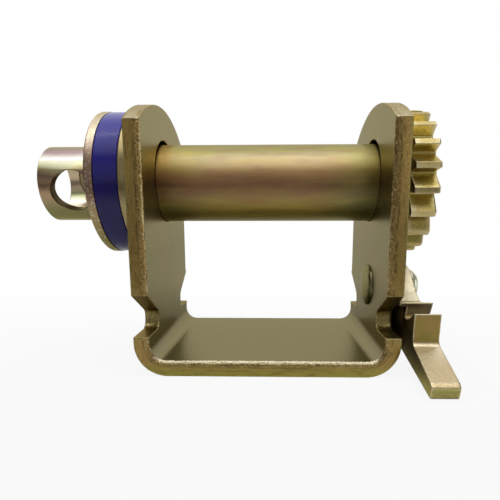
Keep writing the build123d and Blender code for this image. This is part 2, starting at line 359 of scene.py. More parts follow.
@dataclass(frozen=True)
class ShearedZincEdge:
    """The cut edge of zinc-plated plate: a burnished band, then a torn band with pits.

    The shear blade rubs the first part of the cut smooth and brown, and the rest breaks away,
    which leaves a rough band with painted glints, with a dark ragged line between them. The bath
    drained to the lowest edge, where the film is heavy and yellow. Upward faces of the torn band
    and the crown, and outer corners, carry painted highlights.
    """

    name: str
    smooth: str = "ae9254"
    rim: str = "b3ab62"
    line: str = "7a6538"
    torn: str = "aa8e54"
    plain: str = "9a8b58"
    # Painted highlights: glints on the torn band and inner rim, sparks there and on outer corners
    glint: str = "cdb882"
    spark: str = "f2e3bc"
    # Painted highlight on upward faces of the torn band and of the crown
    upper: str = "c1bba2"
    drip: str = "aaa448"
    glancing: str = "b59f66"
    thickness: float = 9.0
    ragged_grain: float = 3.0
    ragged_reach: float = 0.07
    crack_grain: float = 9.0
    streak_grain: float = 1.0
    torn_grain: float = 1.1
    torn_depth: float = 0.22
    gloss: Flat = (0.46, 0.24)
    film: Flat = (0.25, 0.25)
    crown_span: Flat = (60.0, 100.0)
    upper_span: Flat = (0.3, 0.8)
    drip_span: Corner = (8.0, 1.0, 0.8)
    worn_span: Corner = (0.53, 0.6, 0.7)
    crack_span: Flat = (0.44, 0.56)
    streak_span: Corner = (0.52, 0.66, 0.6)
    speck_share: float = 0.8
    wander_span: Flat = (0.25, 0.75)
    rough_span: tuple[float, ...] = (0.5, 0.66, 1.0, 0.12)

    def banded(self, paint: NodePaint, place: Socket) -> Socket:
        """Lays the bands across the cut, with the dark line between them only where it cracked.

        Args:
            paint: the finish so far.
            place: how far through the plate a point lies.

        Returns:
            The colour.
        """
        tints = []
        for line in (self.smooth, self.line):
            start = [(0.04, self.rim), (0.12, self.smooth), (0.54, self.smooth), (0.6, line)]
            # The glint stop at the inner rim is a painted highlight
            rest = [(0.68, self.torn), (0.93, self.torn), (0.98, self.glint)]
            tints.append(paint.bands(place, [*start, *rest]))
        return paint.mix(paint.ramp(paint.noise(self.crack_grain, 4.0), *self.crack_span), *tints)

    def material(self) -> Material:
        """Builds the finish as a material that reads where on the cut a point lies.

        Returns:
            The material.
        """
        paint = NodePaint(self.name)
        across, torn = paint.mark("across"), paint.mark("torn")
        ragged = paint.noise(self.ragged_grain, 5.0)
        wander = paint.ramp(ragged, *self.wander_span, self.ragged_reach, -self.ragged_reach)
        place = paint.math("ADD", across, wander)
        paint.colour = paint.mix(torn, self.plain, self.banded(paint, place))
        # Painted highlight on upward faces of the torn band and high on the crown
        open_cut = paint.math("MAXIMUM", torn, paint.along("Z", *self.crown_span))
        paint.lay(paint.both(paint.facing("Z", *self.upper_span), open_cut), self.upper)
        paint.lay(paint.along("Z", *self.drip_span), self.drip)
        depth = paint.ramp(across, 0.0, 1.0, self.thickness * MM)
        cut = paint.add("CombineXYZ", {"X": depth, "Y": paint.sides["Z"], "Z": paint.sides["X"]})
        streaks = paint.noise(self.streak_grain, 4.0, paint.drawn((1.0, 0.1, 0.1), cut.outputs[0]))
        paint.lay(paint.ramp(streaks, *self.streak_span), self.line)
        grit = paint.noise(self.torn_grain, 3.0)
        # Painted glints and sparks on the torn band, with dark pits
        for start, full, low, high, code in (
            (0.58, 0.7, 0.58, 0.68, self.glint),
            (0.58, 0.7, 0.42, 0.34, self.line),
            (0.82, 0.94, 0.57, 0.65, self.spark),
        ):
            specks = paint.ramp(grit, low, high, self.speck_share)
            paint.lay(paint.both(paint.ramp(place, start, full), specks), code)
        # Painted highlight along the cut's outer corners
        paint.lay(paint.worn(*self.worn_span), self.spark)
        rough = paint.ramp(grit, *NOISE_SPAN, *self.gloss)
        normal = paint.bump(grit, self.torn_depth, paint.ramp(place, *self.rough_span))
        return paint.plated(rough, normal, self.glancing, self.film)


@dataclass(frozen=True)
class DrawnTubeFilm:
    """Round steel, drawn or punched, with zinc and an iridescent passivate film.

    Its tint changes round the axis in long bands, which also carry painted light and shade:
    lighter or darker by angle as the light falls on the round faces.
    The strap has rubbed the drum dull, and the bare head keeps its gloss. Bands are given by
    degrees round the axis, from the front upwards.
    """

    name: str
    # Drum, head, left and right bands mix the film's hues with painted light and shade by angle
    drum_bands: tuple[Stop, ...]
    head_bands: tuple[Stop, ...]
    drum_roughness: float = 0.44
    head_roughness: float = 0.24
    head_span: Flat = (-76.0, -84.0)
    cloud: float = 30.0
    wander: float = 0.12
    line_width: float = 0.9
    line_depth: float = 0.006
    line_gloss: float = 0.04
    hole_x: float = -119.2
    hole_tilt: float = 15.0
    hole_radius: float = 12.25
    # Painted shade on the bar hole's wall
    hole_tint: str = "5f5238"
    # Bands near the plates: the film's hues, darker as painted shade
    left_bands: tuple[Stop, ...] = ()
    left_span: Flat = (-32.0, -52.0)
    right_bands: tuple[Stop, ...] = ()
    right_span: Flat = (30.0, 56.0)
    rose_streak: str = ""
    gold_streak: str = "bda654"
    streak_size: float = 4.0
    streak_share: float = 0.34
    # Painted highlight on the upper front of the left end
    lip_tint: str = "ddb86b"
    lip_span: Corner = (-55.0, -66.0, 0.75)
    lip_turn: float = 20.0
    # Painted shade where the tube passes through the plates
    journal_tint: str = "3c2412"
    journal_from: Flat = (66.2, 67.0)
    journal_to: Flat = (78.0, 77.0)
    bore_radius: float = 17.05
    # The bore's hues by height, with a painted highlight low on its wall
    bore_bands: tuple[Stop, ...] = (
        (0.2, "f2e8d6"), (0.34, "d8dea2"), (0.5, "dfc2a6"), (0.75, "cfbc94"),
    )
    # Painted glints
    glint: str = ""
    glint_size: float = 1.2
    glint_span: Corner = (0.56, 0.66, 0.8)
    glancing: str = "c8bd8c"
    film: Corner = (0.4, 0.3, 1.8)

    def wall(self, paint: NodePaint, reach: Socket, radius: float) -> Socket:
        """Marks the wall of a hole by how far a point lies from its axis."""
        return paint.ramp(reach, (radius + 0.6) * MM, (radius + 0.2) * MM)

    def in_hole(self, paint: NodePaint) -> Socket:
        """Marks the wall of the bar hole.

        Args:
            paint: the finish so far.

        Returns:
            1 on the hole's wall and 0 elsewhere.
        """
        place = (self.hole_x * MM, 0.0, AXIS_HEIGHT * MM)
        turn = (math.radians(self.hole_tilt), 0.0, 0.0)
        settings = {"vector_type": "TEXTURE", "Location": place, "Rotation": turn}
        local = paint.add("Mapping", {**settings, "Vector": paint.spots}).outputs[0]
        flat = paint.add("VectorMath", {"operation": "MULTIPLY", 0: local, 1: (1.0, 0.0, 1.0)})
        return self.wall(paint, paint.length(flat.outputs[0]), self.hole_radius)

    def tint_drum(
        self, paint: NodePaint, turn: Socket, banded: Callable[[Sequence[Stop]], Socket]
    ) -> None:
        """Lays the drum's tints: bands with painted light and shade, end bands darker as painted
        shade, streaks, a painted highlight on the left end's top and painted shade at the journals.

        Args:
            paint: the finish so far.
            turn: the angle round the axis.
            banded: gives bands their colour.
        """
        paint.colour = banded(self.drum_bands)
        # Painted shade near the plates, in the end bands
        for bands, span in ((self.left_bands, self.left_span), (self.right_bands, self.right_span)):
            if bands:
                paint.lay(paint.along("X", *span), banded(bands))
        if self.rose_streak:
            blots = paint.noise(self.streak_size, 4.0, paint.drawn((0.2, 1.0, 1.0)))
            for code, full in zip((self.gold_streak, self.rose_streak), NOISE_SPAN):
                paint.lay(paint.ramp(blots, 0.5, full, self.streak_share), code)
        # Painted highlight on the upper front of the left end, against the plate's shadow
        if self.left_bands:
            upper = paint.ramp(turn, 0.0, math.radians(self.lip_turn))
            paint.lay(paint.both(paint.along("X", *self.lip_span), upper), self.lip_tint)
        # Painted shade in the gap where the tube passes through the plates
        reach = paint.math("ABSOLUTE", paint.sides["X"])
        spans = (self.journal_from, self.journal_to)
        ends = [paint.ramp(reach, low * MM, high * MM) for low, high in spans]
        paint.lay(paint.both(*ends), self.journal_tint)

    def material(self) -> Material:
        """Builds the finish as a material.

        Returns:
            The material.
        """
        paint = NodePaint(self.name)
        up = paint.math("SUBTRACT", paint.sides["Z"], AXIS_HEIGHT * MM)
        out = paint.math("MULTIPLY", paint.sides["Y"], -1.0)
        drift = paint.ramp(paint.noise(self.cloud, 2.0), *NOISE_SPAN, self.wander, -self.wander)
        turn = paint.math("ADD", paint.math("ARCTAN2", up, out), drift)
        share = paint.ramp(turn, -math.pi, math.pi)

        def banded(bands: Sequence[Stop]) -> Socket:
            """The colour of bands that are given by degrees."""
            return paint.bands(share, [((degrees + 180) / 360, code) for degrees, code in bands])

        head = paint.along("X", *self.head_span)
        self.tint_drum(paint, turn, banded)
        paint.lay(head, banded(self.head_bands))
        # Painted shade on the bar hole's wall
        paint.lay(self.in_hole(paint), self.hole_tint)
        # The bore's bands, with a painted highlight low down
        spoke = paint.add("CombineXYZ", {"Y": out, "Z": up}).outputs[0]
        within = self.wall(paint, paint.length(spoke), self.bore_radius)
        level = paint.ramp(up, -self.bore_radius * MM, self.bore_radius * MM)
        paint.lay(within, paint.bands(level, self.bore_bands))
        # Painted glints
        if self.glint:
            glints = paint.noise(self.glint_size, 3.0)
            paint.lay(paint.ramp(glints, *self.glint_span), self.glint)
        lines = paint.noise(self.line_width, 3.0, paint.drawn((0.05, 1.0, 1.0)))
        dull = paint.ramp(head, 0.0, 1.0, self.head_roughness, self.drum_roughness)
        uneven = paint.ramp(lines, *NOISE_SPAN, self.line_gloss, -self.line_gloss)
        rough, normal = paint.math("ADD", dull, uneven), paint.bump(lines, self.line_depth)
        return paint.plated(rough, normal, self.glancing, self.film)


@dataclass(frozen=True)
class MouldedPolyethylene:
    """Dyed polyethylene, turned from a moulded tube: a smooth waxy gloss with faint tool lines."""

    name: str
    base: str = "342fa8"
    deep: str = "1d185a"
    # Painted light: from deep low down to base high up, between these heights
    faded_span: Corner = (AXIS_HEIGHT - 4.0, AXIS_HEIGHT + 28.0, 0.9)
    cloud: float = 18.0
    tool_lines: float = 0.9
    tool_depth: float = 0.02
    roughness: float = 0.2
    index: float = 1.51
    gloss: float = 0.34

    def material(self) -> Material:
        """Builds the finish as a material.

        Returns:
            The material.
        """
        paint = NodePaint(self.name)
        drift = paint.ramp(paint.noise(self.cloud, 2.0), 0.35, 0.65, 0.1)
        # Painted light and shade: darker low down, lighter high up
        share = paint.math("ADD", paint.along("Z", *self.faded_span), drift)
        tool = paint.noise(self.tool_lines, 2.0, paint.drawn((1.0, 0.02, 0.02)))
        return paint.shaded(
            {
                "Roughness": self.roughness,
                "IOR": self.index,
                "Specular IOR Level": self.gloss,
                "Base Color": paint.bands(share, [(0.0, self.deep), (1.0, self.base)]),
                "Normal": paint.bump(tool, self.tool_depth, 0.5),
            }
        )


# Hot-rolled plate, pickled and plated: dull khaki, soft reflections, hardly any lines,
# with painted light high up and on upward faces
PLATE = ZincPlatedSteel(
    "zinc_passivated_rolled_plate", "7c775f", "827760", "767658", "665e42",
    patch=34.0, grain=0.7, grain_depth=0.005, roughness=0.31,
    film=0.0, glancing="d6d0bc", high="968e70", upper="8b8466",
)
# The same plate where a shear cut it: a brown burnished band and a torn one with painted glints
SHEARED = ShearedZincEdge("zinc_passivated_sheared_edge")
# Cold-drawn tube: straw gold drum with rose and olive bands, and a glossier head. Its bands
# by angle also carry painted light and shade; the ends near the plates, the journals and the bar
# hole get painted shade, and the left end's top and the bore a painted highlight
TUBE = DrawnTubeFilm(
    "zinc_passivated_drawn_tube",
    rose_streak="9c6a50",
    drum_bands=(
        (-150.0, "9e8d57"), (-60.0, "857d37"), (-42.0, "b09b4e"), (-28.0, "a58a46"),
        (-16.0, "967749"), (-5.0, "a47b55"), (8.0, "bd9464"), (20.0, "c6ab7a"),
        (37.0, "a99c73"), (50.0, "99915a"), (65.0, "9b9566"), (150.0, "a5935b"),
    ),
    left_bands=(
        (-150.0, "9e8d57"), (-60.0, "8a8038"), (-42.0, "a59d5d"), (-28.0, "96813e"),
        (-16.0, "8a683e"), (-5.0, "906643"), (8.0, "ac7f4a"), (20.0, "b49b52"),
        (37.0, "a6965f"), (50.0, "a19853"), (65.0, "9b955c"), (150.0, "a5935b"),
    ),
    right_bands=(
        (-150.0, "9e8d57"), (-60.0, "7f7f4b"), (-42.0, "858450"), (-28.0, "7f773d"),
        (-16.0, "7c713c"), (-5.0, "84733a"), (8.0, "9b8840"), (20.0, "ad9f55"),
        (37.0, "a69e5f"), (50.0, "a79e5b"), (65.0, "9b9566"), (150.0, "a5935b"),
    ),
    head_bands=(
        (-150.0, "9d8f64"), (-45.0, "8d8950"), (-20.0, "b29773"), (-5.0, "c9a37e"),
        (10.0, "917864"), (18.0, "d6c48e"), (24.0, "dfdfb2"), (40.0, "c6c1b9"),
        (52.0, "b0989e"), (62.0, "ab969f"), (75.0, "aea876"), (150.0, "ae9e6f"),
    ),
)
# Punched disc with plated mill skin: between the plate and the tube in gloss
DISC = ZincPlatedSteel(
    "zinc_passivated_punched_disc", "a69361", "b18e6b", "999358", "7b683a",
    patch=15.0, grain=0.8, grain_depth=0.012, roughness=0.3,
)
# The disc's punched rim: browner, with painted glints, its bands paler on top as painted light
RIM_BANDS = (
    (-150.0, "a08f5a"), (-60.0, "a39a52"), (-35.0, "a8945f"), (-15.0, "a5846a"), (5.0, "9c7b66"),
    (20.0, "b0937c"), (32.0, "cdbba0"), (50.0, "d2c6ac"), (70.0, "c3b98e"), (150.0, "a08f5a"),
)
DISC_RIM = DrawnTubeFilm(
    "zinc_passivated_punched_rim", RIM_BANDS, RIM_BANDS, drum_roughness=0.36, head_roughness=0.36,
    line_width=0.7, line_depth=0.02, glint="e6dfcb",
)
# Gear blank, sawn and plated: golden flat faces
WHEEL = ZincPlatedSteel(
    "zinc_passivated_sawn_wheel", "ae9553", "b79b60", "a0934c", "735e2e",
    patch=12.0, grain=0.8, grain_depth=0.012, roughness=0.32,
)
# Cut teeth: golden, with fine chatter along the cut and bright specks on the lands, paler
# corners, and painted light on the upper teeth
TOOTH = ZincPlatedSteel(
    "zinc_passivated_cut_teeth", "9a8844", "9a824a", "90863c", "604e24",
    patch=8.0, grain=0.8, grain_depth=0.03, roughness=0.32, film=0.2,
    high="d2c076", high_span=(85.0, 125.0), land="c3b070", worn="d8cda6",
)
# Drop forging, shot-blasted and plated: speckled gold with soft dents and paler corners, with
# painted highlights facing up and at the crest, and painted shade facing left and down
FORGED = ZincPlatedSteel(
    "zinc_passivated_forging", "a0873e", "a48548", "938636", "6e562a",
    patch=10.0, grain=0.9, grain_depth=0.045, roughness=0.4, film=0.35,
    upper="c8b58e", crest="ece1c3", under="54462a", thick="66552f", worn="dcd2ae", drip="c6bd66",
)
# Upset rivet: the hammered heads are a little paler than the plate; the outer head, looking
# right, gets a painted highlight, and faces looking down get painted shade
RIVET = ZincPlatedSteel(
    "zinc_passivated_upset_rivet", "86825c", "8b845e", "7e7f57", "6b6644",
    patch=8.0, grain=0.9, grain_depth=0.006, roughness=0.36,
    film=0.0, glancing="d6d0bc", struck="e6e8d0", under="4a4a2c",
)
# Weld metal plated over: greyer and rougher, with ripples
WELD = ZincPlatedSteel(
    "zinc_passivated_weld_metal", "877953", "917a5a", "7e7a4d", "5c4f30",
    patch=5.0, grain=0.7, grain_depth=0.05, roughness=0.42,
)
# Polyethylene dyed blue: waxy gloss over a deep colour, with painted light paler high up
PLASTIC = MouldedPolyethylene("polyethylene_moulded_blue")


def shown(name: str, data: bpy.types.ID) -> bpy.types.Object:
    """Puts an object in the scene.

    Args:
        name: the object's name.
        data: its mesh, light or camera.

    Returns:
        The object.
    """
    made = bpy.data.objects.new(name, data)
    bpy.context.scene.collection.objects.link(made)
    return made


def smooth_piece(name: str, mesh: bpy.types.Mesh, crease: float) -> bpy.types.Object:
    """Shades a mesh smooth between its hard edges and puts it in the scene.

    Args:
        name: the piece's name.
        mesh: its mesh, in metres.
        crease: the angle in degrees above which an edge stays hard.

    Returns:
        The piece.
    """
    mesh.shade_smooth()
    mesh.set_sharp_from_angle(angle=math.radians(crease))
    piece = shown(name, mesh)
    piece.modifiers.new("flat_faces", "WEIGHTED_NORMAL").keep_sharp = True
    return piece


def inside(spots: np.ndarray, loops: Sequence[Sequence[Flat]]) -> np.ndarray:
    """Tells which flat places lie inside an outline and outside its holes.

    Args:
        spots: the places, one a row.
        loops: the outline and the holes.

    Returns:
        A truth value for each place.
    """
    found = np.zeros(len(spots), dtype=bool)
    x, y = spots[:, :1], spots[:, 1:]
    for loop in loops:
        start = np.array(loop)
        run, rise = (np.roll(start, -1, axis=0) - start).T
        straddles = (start[:, 1] > y) != (np.roll(start[:, 1], -1) > y)
        meets = start[:, 0] + (y - start[:, 1]) * run / np.where(rise == 0, 1.0, rise)
        found ^= (np.sum(straddles & (x < meets), axis=1) % 2).astype(bool)
    return found


@dataclass
class MeshDraft:
    """A mesh while it is built, in millimetres, with the marks that the cut-edge finish reads."""

    points: list[Vector] = field(default_factory=list)
    across: list[float] = field(default_factory=list)
    torn: list[float] = field(default_factory=list)
    faces: list[tuple[int, ...]] = field(default_factory=list)
    skins: list[Skin] = field(default_factory=list)
    sliver: float = 1e-5

    def add(self, point: Vector, across: float = 0.0, torn: float = 0.0) -> int:
        """Adds a point.

        Args:
            point: its place in millimetres.
            across: how far through the plate it lies, from 0 at the outer skin to 1.
            torn: 1 on an edge that was sheared, 0 on one that was punched.

        Returns:
            Its number.
        """
        self.points.append(point)
        self.across.append(across)
        self.torn.append(torn)
        return len(self.points) - 1

    def face(self, corners: Sequence[int], skin: Skin) -> None:
        """Adds a face with the finish that it takes."""
        self.faces.append(tuple(corners))
        self.skins.append(skin)

    def bridge(self, first: Sequence[int], second: Sequence[int], skin: Skin) -> None:
        """Joins two closed rows of points by a band, or a row and a single point by a fan.

        Args:
            first: one row's points.
            second: the other row's points.
            skin: the finish that the band takes.
        """
        count = max(len(first), len(second))
        for i in range(count):
            j = (i + 1) % count
            near = first if len(first) == 1 else (first[i], first[j])
            far = second if len(second) == 1 else (second[j], second[i])
            self.face((*near, *far), skin)

    def fill(
        self,
        loops: Sequence[Sequence[Flat]],
        rims: Sequence[Sequence[int]],
        grid: Sequence[Flat],
        place: Callable[[float, float], Vector],
        across: float,
    ) -> None:
        """Fills a flat outline, less its holes, with triangles.

        Args:
            loops: the outline and the holes, in flat coordinates.
            rims: the numbers of the points that are already on them.
            grid: flat places to take up inside.
            place: gives a flat place its point.
            across: which skin of the plate this is.
        """
        spots = [spot for loop in loops for spot in loop]
        known = [number for rim in rims for number in rim]
        edges: list[tuple[int, int]] = []
        for loop in loops:
            first = len(edges)
            edges += [(first + i, first + (i + 1) % len(loop)) for i in range(len(loop))]
        if grid:
            spots += [spot for spot, keep in zip(grid, inside(np.array(grid), loops)) if keep]
        known += [self.add(place(*spot), across) for spot in spots[len(known) :]]
        flat = [Vector(spot) for spot in spots]
        verts, _, tris, origin, _, _ = delaunay_2d_cdt(flat, edges, [], 0, 1e-6)
        middles = np.array([sum((verts[i] for i in tri), Vector((0.0, 0.0))) / 3 for tri in tris])
        for tri, keep in zip(tris, inside(middles, loops)):
            a, b, c = (verts[i] for i in tri)
            longest = max((a - b).length, (b - c).length, (c - a).length)
            if keep and area_tri(a, b, c) > self.sliver * longest**2:
                self.face([known[origin[i][0]] for i in tri], Skin.FACE)

    def finish(
        self, name: str, finishes: Sequence[Material], crease: float = 38.0
    ) -> bpy.types.Object:
        """Makes the draft an object in metres.

        Args:
            name: the piece's name.
            finishes: its materials, in the order of Skin.
            crease: faces that meet at a sharper angle than this, in degrees, keep a hard edge.

        Returns:
            The piece.
        """
        mesh = bpy.data.meshes.new(name)
        mesh.from_pydata([p * MM for p in self.points], [], self.faces)
        for key, values in (("across", self.across), ("torn", self.torn)):
            mesh.attributes.new(key, "FLOAT", "POINT").data.foreach_set("value", values)
        for finish in finishes:
            mesh.materials.append(finish)
        last = len(finishes) - 1
        mesh.polygons.foreach_set("material_index", [min(skin.value, last) for skin in self.skins])
        work = bmesh.new()
        work.from_mesh(mesh)
        bmesh.ops.recalc_face_normals(work, faces=work.faces)
        work.to_mesh(mesh)
        work.free()
        return smooth_piece(name, mesh, crease)


def rounded(path: Sequence[Corner], closed: bool, steps: int = 6) -> list[Flat]:
    """Replaces each corner of a path by an arc of that corner's radius.

    Args:
        path: corners with their radii.
        closed: whether the path runs back to its start.
        steps: segments to an arc.

    Returns:
        The path with its arcs.
    """
    made: list[Flat] = []
    count = len(path)
    for i, (x, y, radius) in enumerate(path):
        if radius == 0 or (not closed and i in (0, count - 1)):
            made.append((x, y))
            continue
        corner = Vector((x, y))
        back, ahead = (Vector(path[j % count][:2]) - corner for j in (i - 1, i + 1))
        half = back.angle(ahead) / 2
        reach = min(radius / math.tan(half), back.length * 0.499, ahead.length * 0.499)
        radius = reach * math.tan(half)
        way = (back.normalized() + ahead.normalized()).normalized()
        centre = corner + way * radius / math.sin(half)
        start = corner + back.normalized() * reach - centre
        end = corner + ahead.normalized() * reach - centre
        turn = math.atan2(start.x * end.y - start.y * end.x, start.dot(end))
        arms = [Matrix.Rotation(turn * step / steps, 2) @ start for step in range(steps + 1)]
        made += [(centre.x + arm.x, centre.y + arm.y) for arm in arms]
    return made


def divided(path: Sequence[Flat], step: float, like: Sequence[Flat] = ()) -> list[Flat]:
    """Splits the long runs of a closed path.

    Args:
        path: the path's points.
        step: the longest run that stays whole.
        like: another path with as many points, whose runs say how often each run is split.

    Returns:
        The path with more points.
    """
    made: list[Flat] = []
    like = like or path
    for i, (x, y) in enumerate(path):
        after = (i + 1) % len(path)
        end_x, end_y = path[after]
        parts = max(1, math.ceil(math.dist(like[i], like[after]) / step - 1e-6))
        made += [(x + (end_x - x) * k / parts, y + (end_y - y) * k / parts) for k in range(parts)]
    return made


def polar(radius: float, angle: float, centre: Flat = (0.0, 0.0)) -> Flat:
    """A place at a radius and an angle round a centre."""
    return (centre[0] + radius * math.cos(angle), centre[1] + radius * math.sin(angle))


def circle(centre: Flat, radius: float, count: int) -> list[Flat]:
    """A hole's points, clockwise, so that its cut faces inward."""
    return [polar(radius, -2 * math.pi * i / count, centre) for i in range(count)]


def outward(spots: Sequence[Flat]) -> list[Vector]:
    """The way out of the material at each place of a loop, longer at corners to keep runs level.

    Args:
        spots: the loop's places.

    Returns:
        A vector for each place.
    """
    places = [Vector(spot) for spot in spots]
    runs = [(after - here).normalized() for here, after in zip(places, places[1:] + places[:1])]
    outs = [Vector((run.y, -run.x)) for run in runs]
    pairs = zip(outs[-1:] + outs, outs)
    return [(before + after) / max(0.35, 1 + before.dot(after)) for before, after in pairs]


class CutRow(NamedTuple):
    """A line along a cut edge: how deep in the plate it lies, and how far back from the cut.

    A punched edge has small rounded rims. A sheared one rolls over at the inner skin.
    """

    depth: float
    punched: float
    sheared: float


@dataclass
class CutLoop:
    """A closed cut through a plate, anticlockwise for an outline and clockwise for a hole.

    Where setting the loop back would cross its own tight corners, paths gives each row's places.
    """

    spots: list[Flat]
    rows: Sequence[CutRow]
    torn: list[float]
    bite: float = 0.0
    bite_from: float = 1.0
    paths: Sequence[Sequence[Flat]] = ()
    grain_along: float = 0.85
    grain_through: float = 1.1
    grain_lift: float = 0.25

    def flat_rows(self) -> list[list[Flat]]:
        """The places of each row, set back from the cut.

        Returns:
            A list of places for each row.
        """
        ways = outward(self.spots)
        made = []
        for i, row in enumerate(self.rows):
            made.append([])
            places = self.paths[i] if self.paths else self.spots
            for (x, y), way, torn in zip(places, ways, self.torn):
                back = 0.0 if self.paths else row.punched + (row.sheared - row.punched) * torn
                if torn and row.depth / self.rows[-1].depth > self.bite_from:
                    through = row.depth * self.grain_through
                    place = Vector((x * self.grain_along, y * self.grain_along, through))
                    back += self.bite * torn * (noise.noise(place) + self.grain_lift)
                made[-1].append((x - way.x * back, y - way.y * back))
        return made


def add_plate(
    draft: MeshDraft,
    loops: Sequence[CutLoop],
    grid: Sequence[Flat],
    place: Callable[[float, float, float], Vector],
) -> None:
    """Adds a plate with its cut edges and its two skins.

    Args:
        draft: the mesh that gets it.
        loops: the outline and then the holes.
        grid: flat places to take up inside the skins.
        place: gives a flat place and a depth their point.
    """
    thickness = loops[0].rows[-1].depth
    flats = [loop.flat_rows() for loop in loops]
    rims = []
    for loop, flat in zip(loops, flats):
        numbers = []
        for row, spots in zip(loop.rows, flat):
            across, marks = row.depth / thickness, zip(spots, loop.torn)
            numbers.append([draft.add(place(*s, row.depth), across, torn) for s, torn in marks])
        for first, second in zip(numbers, numbers[1:]):
            draft.bridge(first, second, Skin.CUT)
        rims.append(numbers)
    for end, depth in ((0, 0.0), (-1, thickness)):
        edges, known = ([rows[end] for rows in side] for side in (flats, rims))
        draft.fill(edges, known, grid, lambda u, v, d=depth: place(u, v, d), depth / thickness)


@dataclass(frozen=True)
class Lathe:
    """Turns a profile about an axis along X."""

    centre: Flat
    segments: int

    def add(
        self,
        draft: MeshDraft,
        profile: Sequence[Flat],
        closed: bool,
        ripple: Callable[[float, float, float], float] = lambda x, radius, angle: 0.0,
        cut: Callable[[float], bool] = lambda radius: False,
    ) -> None:
        """Adds the turned surface.

        Args:
            draft: the mesh that gets it.
            profile: places along X and out from the axis.
            closed: whether the profile is a ring's section; otherwise its ends lie on the axis.
            ripple: how far out a place along X, at a radius and an angle, moves.
            cut: tells whether a radius lies on a cut rim.
        """
        rows = []
        for x, radius in profile:
            row = []
            for i in range(self.segments if radius > 1e-6 else 1):
                angle = 2 * math.pi * i / self.segments
                out = radius + ripple(x, radius, angle) if radius > 1e-6 else 0.0
                row.append(draft.add(Vector((x, *polar(out, angle, self.centre)))))
            rows.append(row)
        for i in range(len(rows) if closed else len(rows) - 1):
            j = (i + 1) % len(rows)
            on_rim = cut(profile[i][1]) and cut(profile[j][1])
            draft.bridge(rows[i], rows[j], Skin.CUT if on_rim else Skin.FACE)


def settle(piece: bpy.types.Object, node: str, body: Body, slot: Slot) -> None:
    """Lets a piece stand for a CAD node, on its body.

    Args:
        piece: the piece.
        node: the CAD node that it replaces.
        body: the body that it rides on.
        slot: not used.
    """
    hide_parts(node)
    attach(piece, body.value)
    faces = len(piece.data.polygons)
    log.info("%s stands for %s on %s, %d faces", piece.name, node, body.value, faces)


def dress(node: str, finish: Material) -> None:
    """Gives a CAD node that stays in view its finish.

    Args:
        node: the node's name.
        finish: its finish.
    """
    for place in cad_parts[node].material_slots:
        place.material = finish
    log.info("%s keeps its solid and takes %s", node, finish.name)


